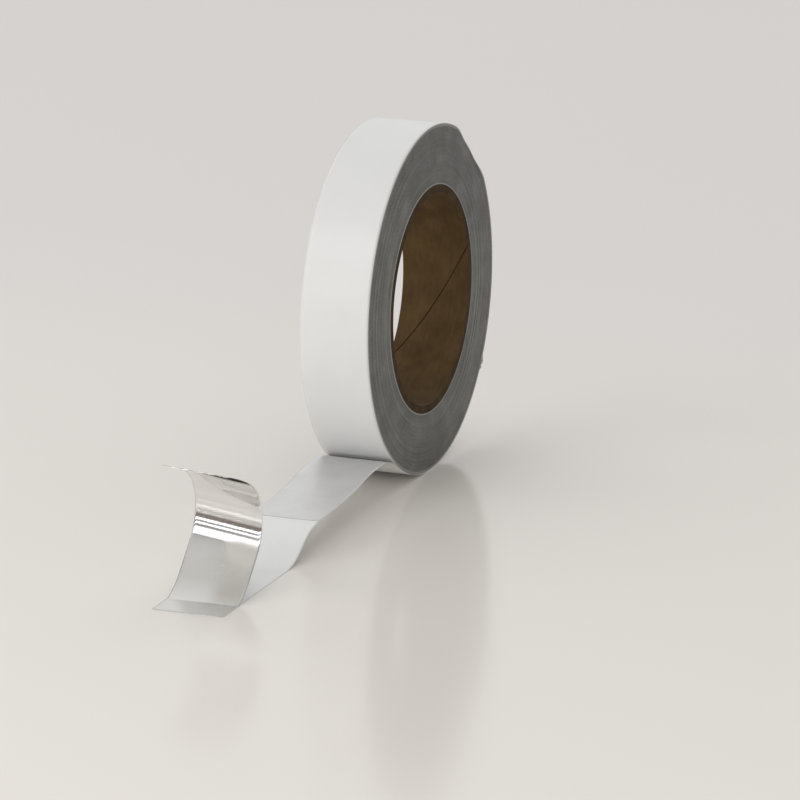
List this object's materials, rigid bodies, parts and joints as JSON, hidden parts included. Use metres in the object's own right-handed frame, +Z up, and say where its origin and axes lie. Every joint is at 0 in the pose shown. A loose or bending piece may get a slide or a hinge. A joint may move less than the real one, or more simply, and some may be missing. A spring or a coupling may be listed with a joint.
{
  "type": "roll of foil tape",
  "caption": "Roll of aluminium foil tape with a white release liner on a paper core, standing on its rim with its loose end out and the foil curling off the liner.",
  "frame": {"origin": "centre of the core's bore, at mid-width of the tape", "axes": "+Y along the roll's axis, +Z up with the roll standing on its rim, and the loose end runs towards -X"},
  "size_m": [0.257, 0.0254, 0.1254],
  "materials": {
    "kraft_board": "matt brown spiral-wound kraft board",
    "release_liner": "smooth white silicone-coated paper, satin gloss",
    "wound_edges": "slit edges of the wound foil and liner, fine concentric lines",
    "foil": "smooth soft aluminium foil",
    "bare_foil": "bright, near-mirror aluminium foil",
    "adhesive": "clear tacky acrylic film"
  },
  "bodies": {
    "roll": {"core_inner_ply": "kraft_board", "core_body_ply_1": "kraft_board", "core_body_ply_2": "kraft_board", "core_body_ply_3": "kraft_board", "core_outer_ply": "kraft_board", "starter_wrap": "release_liner", "tape_pack": "wound_edges", "outer_turn_liner": "release_liner", "outer_turn_adhesive": "adhesive", "outer_turn_foil": "foil"},
    "tail": {"tail_liner": "release_liner", "tail_adhesive": "adhesive", "tail_foil": "foil"},
    "end": {"end_liner": "release_liner", "flap_adhesive": "adhesive", "flap_foil": "foil"},
    "curl": {"curl_adhesive": "adhesive", "curl_foil": "bare_foil"}
  },
  "joints": [
    {"name": "tail_unwind", "type": "hinge", "parent": "roll", "child": "tail", "pos_m": [0, 0, 0], "axis": [0, 1, 0], "continuous": true},
    {"name": "end_fold", "type": "hinge", "parent": "tail", "child": "end", "pos_m": [-0.10817, 0, -0.05303], "axis": [0, 1, 0], "range_deg": [-40, 60]},
    {"name": "foil_peel", "type": "hinge", "parent": "end", "child": "curl", "pos_m": [-0.1812, 0, -0.06266], "axis": [0, 1, 0], "range_deg": [-65, 10]}
  ]
}
